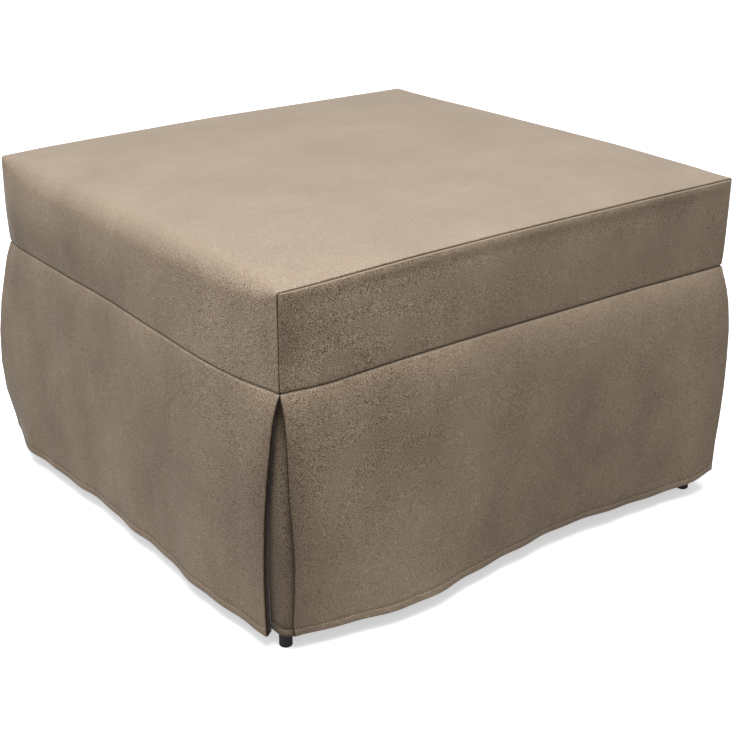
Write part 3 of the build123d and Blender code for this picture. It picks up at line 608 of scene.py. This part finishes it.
def settle(points):
    """Moves points of the cover from its plain shape to where it has settled. A point takes the
    seam's drop and bulge at its place round the cover, by a share that fades from the waist to
    the top edge and to the hem, and the top edge's rise by a share that fades inwards."""
    x, y, z = points[..., 0], points[..., 1], points[..., 2]
    to_front = np.abs(y) * half_width > np.abs(x) * half_depth
    places = {
        "front": half_width + x, "right": 2 * half_width + half_depth + y,
        "back": 3 * half_width + 2 * half_depth - x, "left": 4 * half_width + 3 * half_depth - y,
    }
    front_or_back = np.where(y < 0, places["front"], places["back"])
    around = np.where(to_front, front_or_back, np.where(x < 0, places["left"], places["right"]))
    up_band = np.clip((z - waist) / (top_edge - waist), 0, 1)
    v = np.clip((waist - z) / drop, 0, 1)
    below = z < waist
    down = np.interp(around, round_it, lowered, period=girth) * np.where(below, 1 - v, (1 - up_band) ** 1.3)
    to_corner = np.where(to_front, half_width - np.abs(x), half_depth - np.abs(y))
    out = np.interp(around, round_it, bulged, period=girth) * (to_corner > 0)
    out = out * (1 - np.exp(-((to_corner / corner_fade) ** 2)))
    fading = np.where(below, np.exp(-v / belly_fade) * (1 - belly_return * v**3), (1 - up_band) ** 1.7)
    inside = {
        "front": half_depth + y, "right": half_width - x, "back": half_depth - y, "left": half_width + x,
    }
    shares = {name: np.exp(-np.maximum(inside[name], 0) / rise_fade) for name in places}
    rise = sum(np.interp(places[name], round_it, raised, period=girth) * shares[name] for name in places)
    rise = rise / (rise_left + sum(shares.values())) * (1 + rise_left) * up_band
    moved_x = np.where(to_front, x, x + np.sign(x) * out * fading)
    moved_y = np.where(to_front, y + np.sign(y) * out * fading, y)
    return np.stack([moved_x, moved_y, z - down + rise], -1)


# The panel's cross section goes up the left side, round its edge, over the top, round the other
# edge and down the right side. Each edge's radius grows from the seams to the middle of the side.
edge_radius, soft_more, firm_more, edge_relax = 0.003, 0.025, 0.009, 0.045
front_bow, back_more, bow_span, right_share = 0.002, 0.006, 0.6, 0.4
# Painted shade in the seams: its share in the waist seam of the sides, its share at the top end of the
# upright corner seams, and where below the top edge that shade begins and over what height it grows.
side_seam_shade, corner_shade_at_top, corner_shade_start, corner_shade_fade = 0.35, 0.2, 0.002, 0.01
waist_steps, side_run = np.array([0, 0.0007, 0.0015, 0.0025, 0.004, 0.006, 0.009]), 0.1
run = np.concatenate([waist_steps / side_run, np.linspace(0.13, 1, 24)])
turn = np.radians(np.linspace(0, 90, 14)[1:])
flat = np.linspace(-1, 1, 92)[1:-1]
across = near_edge(80)[:, None] * half_depth
distance = half_depth - np.abs(across)
soft, firm = [edge_radius + more * (1 - np.exp(-distance / edge_relax)) for more in (soft_more, firm_more)]
line_x = np.hstack([
    0 * run - half_width + 0 * soft,
    -half_width + soft - soft * np.cos(turn),
    (half_width - soft) * np.minimum(flat, 0) + (half_width - firm) * np.maximum(flat, 0),
    (half_width - firm + firm * np.cos(turn))[:, ::-1],
    0 * run + half_width + 0 * firm,
])
line_z = np.hstack([
    waist + (top_edge - soft - waist) * run,
    top_edge - soft + soft * np.sin(turn),
    top_edge + 0 * soft * flat,
    (top_edge - firm + firm * np.sin(turn))[:, ::-1],
    (waist + (top_edge - firm - waist) * run)[:, ::-1],
])
lean = np.concatenate([
    0 * run, turn, 0 * flat + radians(90), radians(180) - turn[::-1], 0 * run + radians(180),
])
normal_x, normal_z = -np.cos(lean), np.sin(lean)
aside, under = rim(distance, corner_turn(line_z), line_z)
up_band = np.clip((line_z - waist) / (top_edge - waist), 0, 1)
towards_back = np.clip(0.5 + across / bow_span, 0, 1)
bow = np.sin(np.pi * up_band) ** 1.3 * (front_bow + back_more * towards_back**2)
bow = bow * (1 - np.exp(-distance / corner_fade)) * np.where(line_x < 0, 1, right_share)
inward = under + (pinch(line_z) - bow) * np.abs(normal_x)
points = np.stack([
    line_x - normal_x * inward,
    np.sign(across) * (half_depth - aside),
    line_z - normal_z * inward + crown_at(line_x, across),
], -1)
# Painted shade in the upright corner seams and the waist seam, weaker near the top edge.
upright = np.clip((top_edge - corner_shade_start - line_z) / corner_shade_fade, 0, 1)
corner_seams = (corner_shade_at_top + (1 - corner_shade_at_top) * upright) * seam_shade_at(distance)
seams = np.maximum(corner_seams, side_seam_shade * seam_shade_at(line_z - waist))
top_and_sides = grid_object("top_and_sides", settle(points), cover_cloth, "slipcover", seams)
thicken(top_and_sides, cloth)
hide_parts("cover_top_and_sides")
crumples(top_and_sides)


# Front and back bands: a flat strip each, cut to the height of the box and sewn in along the top
# and both upright corners. Beside the left corner seam they are drawn into a soft hollow, and
# under the top seam its allowance shows as a faint bead.
band_bow, band_bead, bead_down, bead_half, bead_fade = 0.0015, 0.0012, 0.008, 0.006, 0.03
hollow_deep, hollow_in, hollow_height = 0.0036, 0.014, 0.378
hollow_half_width, hollow_half_height = 0.020, 0.040
# Painted shade: its share in the waist seam of the bands and front skirt, in the top seam away from the
# corners, and in the hollow.
band_seam_shade, top_seam_shade, top_seam_fade, hollow_shade = 0.65, 0.25, 0.08, 0.3
rows_over_waist, rows_under_top = 0.013, 0.009
top_steps = np.array([0.0065, 0.0045, 0.0033, 0.0024, 0.0016, 0.0008, 0.0])
even_rows = np.linspace(waist + rows_over_waist, top_edge - rows_under_top, 22)
heights = np.concatenate([waist + waist_steps, even_rows, top_edge - top_steps])
for name, facing in (("front_band", -1), ("back_band", 1)):
    height, along = heights[:, None], near_edge(130)[None, :] * half_width
    to_side, to_top = half_width - np.abs(along) + 0 * height, top_edge - height + 0 * along
    side_aside, side_under = rim(to_side, corner_turn(height), height)
    top_aside, top_under = rim(to_top, seam_turn + 0 * height, top_edge)
    bow = band_bow * np.sin(np.pi * (height - waist) / (top_edge - waist))
    bow = bow * (1 - np.exp(-to_side / corner_fade))
    bead = band_bead * np.exp(-(((to_top - bead_down) / bead_half) ** 2)) * (1 - np.exp(-to_side / bead_fade))
    hollow_x = (half_width + along - hollow_in) / hollow_half_width
    hollow = np.exp(-(hollow_x**2) - ((height - hollow_height) / hollow_half_height) ** 2)
    sunk = np.maximum(side_under, top_under) + pinch(height) + hollow_deep * hollow
    depth = half_depth - sunk + bow + bead
    points = np.stack([np.sign(along) * (half_width - side_aside), facing * depth, top_edge - top_aside], -1)
    # Painted shade in the top seam, the waist seam, the upright corner seams and the hollow beside the left
    # corner.
    along_top = top_seam_shade * (1 - np.exp(-((to_side / top_seam_fade) ** 2))) * seam_shade_at(to_top)
    seams = np.maximum(along_top, band_seam_shade * seam_shade_at(height - waist))
    seams = np.maximum(seams, seam_shade_at(to_side) + hollow_shade * hollow)[:, ::-facing]
    band = grid_object(name, settle(points)[:, ::-facing], cover_cloth, "slipcover", seams)
    thicken(band, cloth)
    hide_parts(f"cover_{name}")
    crumples(band)


# Skirt panels: each hangs from the waist seam, bulges a little and ends in a waved, sewn hem.
# Both upright edges are folded back behind the panel, and they part towards the floor where two
# panels meet at a corner pleat. A row of thread holds the 9.5 mm hem up.
skirt_cloth, skirt_belly = 0.0013, 0.0105
fold_radius, fold_angle, sewn_run = 0.0022, radians(125), 0.012
hem_height, hem_ply, stitch_dip, stitch_dip_half = 0.0095, 0.0004, 0.0003, 0.0012
hem_reach, hem_smoothed, hem_power = 0.42, 23, 2.6
corner_run, edge_dip, edge_dip_run = 0.09, 0.0015, 0.018
# Height of the hem's small waves, how many radians of them a metre holds, and where they start
small_waves = ((0.0018, 38, 1.3), (0.0010, 83, 0.4))
# Painted shade on the skirts: how dark towards the front left pleat, over what distance it fades, and over
# what distance round the folded back edge it grows to full.
pleat_shade, pleat_shade_run, fold_shade_run = 0.40, 0.032, 0.003
stitch_pitch, stitch_share, stitch_arch = 0.0042, 0.7, 0.0004
thread_end, thread_swell = 0.00006, 0.00030

# Hems in millimetres: the place along the side, from its middle to the right as seen from
# outside, how far the hem stands out there, and how far it is lifted off the hem's level
front_hem = (
    (-329, 0, 0), (-292, 7, 0), (-257, 18, 0), (-218, 25, 0), (-173, 25, 0), (-122, 20, 0), (-68, 12, 0),
    (-5, 0, 1), (53, -3, 3), (108, -3, 3.5), (162, -3, 3.5), (210, 0, 1), (261, 4, 0), (310, 7, 2),
    (345, 10, 12),
)
side_hem = (
    (-283, 25, 0), (-202, 17, 0), (-116, 13, 0), (-30, 13, 0), (54, 14, 0), (138, 18, 0), (215, 21, 0),
    (270, 18, 0), (310, 13, 0), (345, 11, 0),
)
left_hem = ((-345, 10, 18), (-325, 14, 8), (-305, 20, 1)) + side_hem
right_hem = ((-345, 10, 12), (-310, 12, 2)) + side_hem
back_hem = (
    (-350, 13, 0), (-262, 13, 0), (-175, 8, 0), (-87, 22, 0), (0, 22, 0), (87, 12, 0), (175, 11, 0),
    (262, 14, 0), (310, 12, 3), (350, 9, 18),
)

# Upright edges of the panels, in pairs of a share of the drop and millimetres: first how far the
# edge goes past the corner, and then how far the cloth beside it stands out
flush = ((0, 0), (1, 0))
open_left = (
    (
        (0, -1), (0.02, -3), (0.08, -5.5), (0.24, -11), (0.38, -18), (0.52, -22.5), (0.66, -24.5),
        (0.8, -24.5), (0.94, -21), (1, -19),
    ),
    flush,
)
open_front = (
    (
        (0, -1), (0.02, -2), (0.08, -3), (0.24, -4), (0.38, -5), (0.52, -8.5), (0.66, -12),
        (0.8, -12.3), (0.94, -11), (1, -13),
    ),
    flush,
)
shut_right = (
    (
        (0, 0), (0.03, -1.5), (0.16, 5.5), (0.29, 8.5), (0.43, 9.5), (0.57, 9.5), (0.72, 8.5),
        (0.82, 7.5), (1, 7.5),
    ),
    ((0, 0), (0.16, 2.5), (0.29, 4.5), (0.43, 5), (0.57, 5), (0.72, 4), (0.82, 2.5), (1, 0)),
)
shut_left = (
    (
        (0, 0), (0.03, -1.5), (0.16, 6), (0.31, 13), (0.46, 17.5), (0.62, 19), (0.78, 16.5),
        (0.93, 9), (1, 6),
    ),
    ((0, 0), (0.16, 2), (0.31, 7.5), (0.46, 11.5), (0.62, 13), (0.78, 10.5), (0.93, 3), (1, 0)),
)
shut_back = (((0, 0), (0.05, -2), (1, 3)), flush)

# Direction along each side, half its length, how far out it lies, its hem and its two edges
sides = {
    "front": (1, 0, half_width, half_depth, front_hem, open_front, shut_right),
    "right": (0, 1, half_depth, half_width, right_hem, shut_right, shut_back),
    "back": (-1, 0, half_width, half_depth, back_hem, shut_back, shut_left),
    "left": (0, -1, half_depth, half_width, left_hem, shut_left, open_left),
}
thread_finish = finish(
    "sewing_thread", Base_Color=linear("#43382E"), Roughness=0.6, Specular_IOR_Level=0.3
)[0]


def wave_at(along, picked, column):
    """How far a hem stands out or how far it is up, by the column: straight lines through its listed
    places, made smooth by a moving mean with a bell shaped weight."""
    fine = np.linspace(-hem_reach, hem_reach, 421)
    line = np.interp(fine, [p[0] / 1000 for p in picked], [p[column] / 1000 for p in picked])
    weight = np.hanning(2 * hem_smoothed + 1)
    smooth = np.convolve(line, weight / weight.sum(), "valid")
    return np.interp(along, fine[hem_smoothed:-hem_smoothed], smooth)


def belly(v):
    """How far the skirt stands out below the waist seam: it comes out quickly, in an exponential
    curve, and goes back by a cube towards the hem."""
    return skirt_belly * (1 - np.exp(-v / belly_fade)) * (1 - belly_return * v**3)


def line_at(v, picked):
    """Straight lines through listed places of an upright edge, each a share of the drop and
    millimetres."""
    return np.interp(v, [p[0] for p in picked], [p[1] / 1000 for p in picked])


def skirt_point(side, u, v, past):
    """Points of a skirt panel: u runs from -1 to 1 along the side, v from 0 at the waist to 1 at
    the hem, and past is how far a point has gone round the fold at the panel's edge, in metres. A
    point stands out by the belly, by its share of the hem's wave, which grows downwards, and by
    what its upright edge stands out there, which fades away along the side."""
    along_x, along_y, half, distance, picked, first, last = side
    fall = np.clip(v, 0, 1) ** hem_power
    height = waist - v * drop + wave_at(u * half, picked, 2) * fall
    sewn = np.exp(-v / sewn_run)
    edge = half + np.where(u < 0, line_at(v, first[0]), line_at(v, last[0])) - fold_radius * (1 - sewn)
    along = u * edge
    to_edge = edge - np.abs(along)
    out = belly(v) + (wave_at(along, picked, 1) - belly(1.0)) * fall
    out += fall * sum(high * np.sin(along * waves + start) for high, waves, start in small_waves)
    out -= edge_dip * (1 - sewn) * np.exp(-((to_edge / edge_dip_run) ** 2))
    corner = np.exp(-((to_edge / corner_run) ** 2))
    out += corner * np.where(u < 0, line_at(v, first[1]), line_at(v, last[1]))
    hem_distance = (1 - v) * drop
    out += hem_ply * np.clip(1 - (hem_distance / hem_height) ** 8, 0, 1)
    out -= stitch_dip * np.exp(-(((hem_distance - hem_height) / stitch_dip_half) ** 2))
    aside, under = rim(to_edge, waist_turn, height)
    out += -pinch(waist - v * drop) - (under - seam_dip(to_edge)) * sewn
    aside = to_edge + (aside - seam_dip(to_edge) - to_edge) * sewn
    bent = np.clip(past / fold_radius, 0, fold_angle)
    onward = np.maximum(past - fold_radius * fold_angle, 0)
    aside = aside - (fold_radius * np.sin(bent) + onward * cos(fold_angle)) * (1 - sewn)
    out -= (fold_radius * (1 - np.cos(bent)) + onward * sin(fold_angle)) * (1 - sewn)
    along = np.sign(along) * (edge - aside)
    x = along_x * along + along_y * (distance + out)
    y = along_y * along - along_x * (distance + out)
    return settle(np.stack([x, y, height + 0 * x], -1))


def stitches(name, line, outward, pitch, body):
    """A row of thread stitches along a line: each is a small arched spindle that spans seven
    tenths of the pitch, and swells and rises by half a sine wave over its length."""
    run = np.concatenate([[0], np.cumsum(np.linalg.norm(np.diff(line, axis=0), axis=1))])
    starts = np.arange(pitch, run[-1] - pitch, pitch)[:, None]
    share = np.linspace(0, 1, 6)[None, :]
    at = starts + stitch_share * pitch * share
    middle = np.stack([np.interp(at, run, line[:, i]) for i in range(3)], -1)
    ahead = np.stack([np.interp(at + 1e-3, run, line[:, i]) for i in range(3)], -1) - middle
    ahead /= np.linalg.norm(ahead, axis=-1, keepdims=True)
    face = np.stack([np.interp(at, run, outward[:, i]) for i in range(3)], -1)
    beside = np.cross(ahead, face)
    beside /= np.linalg.norm(beside, axis=-1, keepdims=True)
    swell = np.sin(pi * share)[0][None, :, None, None]
    angle = np.linspace(0, 2 * pi, 7)[:-1]
    ring = np.cos(angle)[:, None] * beside[:, :, None]
    ring = ring + np.sin(angle)[:, None] * np.cross(beside, ahead)[:, :, None]
    points = middle[:, :, None] + face[:, :, None] * stitch_arch * swell
    points = points + ring * (thread_end + thread_swell * swell)
    rows, cuts, walls_round = points.shape[:3]
    index = np.arange(points[..., 0].size).reshape(rows, cuts, walls_round)
    following = np.roll(index, -1, 2)
    walls = np.stack([index[:, :-1], index[:, 1:], following[:, 1:], following[:, :-1]], -1).reshape(-1, 4)
    ends = np.concatenate([index[:, 0], index[:, -1, ::-1]])
    mesh = bpy.data.meshes.new(name)
    mesh.from_pydata(points.reshape(-1, 3).tolist(), [], walls.tolist() + ends.tolist())
    mesh.polygons.foreach_set("use_smooth", [True] * len(mesh.polygons))
    mesh.materials.append(thread_finish)
    thread = bpy.data.objects.new(name, mesh)
    bpy.context.scene.collection.objects.link(thread)
    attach(thread, body)
    return thread


belly_steps = np.array([0.013, 0.018, 0.025])
hem_steps = np.array([0.0175, 0.015, 0.0125, 0.0108, 0.0099, 0.0093, 0.0086, 0.0075, 0.006, 0.003, 0.001, 0])
down = np.concatenate([
    waist_steps / drop, belly_steps / drop, np.linspace(0.1, 0.93, 48), 1 - hem_steps / drop,
])
back_fold = np.array([0.0006, 0.0012, 0.0018, 0.0024, 0.003, 0.0036, 0.0042, 0.0048, 0.008, 0.012, 0.016])
for side_name, side in sides.items():
    even = near_edge(130)
    u, v = np.meshgrid(np.concatenate([-1 + 0 * back_fold, even, 1 + 0 * back_fold]), down)
    past = np.concatenate([back_fold[::-1], 0 * even, back_fold])[None, :]
    points = skirt_point(side, u, v, past)
    # Painted shade: in the waist seam, on both panels towards the front left pleat, and on the edges folded
    # back behind the panel.
    seams = (band_seam_shade if side_name == "front" else side_seam_shade) * seam_shade_at(v * drop)
    to_pleat = {"front": 1 + u, "left": 1 - u}.get(side_name, 2 + 0 * u) * half_width
    gap_shade = np.exp(-to_pleat / pleat_shade_run) * np.sin(pi * np.clip(v, 0, 1) ** 0.5)
    seams = np.maximum(seams, pleat_shade * gap_shade)
    seams = np.maximum(seams, np.clip(past / fold_shade_run, 0, 1))[::-1]
    skirt = grid_object(f"{side_name}_skirt", points[::-1], cover_cloth, "slipcover", seams)
    thicken(skirt, skirt_cloth)
    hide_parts(f"{side_name}_skirt_panel")
    crumples(skirt)
    stitch_u = np.linspace(-0.992, 0.992, 600)
    stitch_v = 0 * stitch_u + 1 - hem_height / drop
    row = skirt_point(side, stitch_u, stitch_v, 0 * stitch_u)
    face = np.broadcast_to([side[1], -side[0], 0.0], row.shape)
    crumples(stitches(f"{side_name}_hem_thread", row, face, stitch_pitch, "slipcover"))


# Pleat underlays: a strip of the same cloth behind each pair of skirt edges, folded round the
# corner and sewn in at the waist. It sinks further behind them towards the hem, which is lifted
# at two of the corners.
pleat_cloth, strip_half, strip_bend, bend_gap = 0.0012, 0.046, 0.012, 0.0005
strip_under, strip_sink, strip_sink_run, strip_ply = 0.0018, 0.0010, 0.08, 0.0008
# Painted shade on the underlay: a share all over, more towards the waist, and how fast that fades.
strip_shade, strip_top_shade, strip_shade_run = 0.42, 0.55, 0.16
# Name, which way the corner lies in x and y, and how far its hem is lifted
corners = (
    ("front_left", -1, -1, 0), ("front_right", 1, -1, 0.009),
    ("back_right", 1, 1, 0), ("back_left", -1, 1, 0.014),
)
for name, sx, sy, hem_up in corners:
    leg = np.linspace(strip_half, strip_bend + bend_gap, 12)
    arc = np.radians(np.linspace(0, 90, 13))
    leg_x = np.concatenate([leg, strip_bend * (1 - np.sin(arc)), 0 * leg])
    leg_y = np.concatenate([0 * leg, strip_bend * (1 - np.cos(arc)), leg[::-1]])
    v = np.concatenate([np.linspace(0, 0.965, 50), [0.969, 0.973, 0.98, 0.99, 1.0]])[:, None]
    face = strip_under + strip_sink * (1 - np.exp(-v / strip_sink_run)) + pinch(waist - v * drop)
    face = face + strip_ply * np.exp(-((((1 - v) * drop - hem_height) / stitch_dip_half) ** 2))
    points = np.stack([
        sx * (half_width - face - leg_x), sy * (half_depth - face - leg_y),
        waist - v * drop + hem_up * v**hem_power + 0 * leg_x,
    ], -1)
    points = settle(points)[:, :: -sx * sy]
    # Painted shade: the whole underlay is darkened, most near the waist.
    seams = strip_shade + strip_top_shade * np.exp(-((v / strip_shade_run) ** 2)) + 0 * leg_x
    pleat = grid_object(f"{name}_pleat_underlay", points, cover_cloth, "slipcover", seams)
    thicken(pleat, pleat_cloth)
    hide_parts(f"{name}_pleat")
    crumples(pleat)
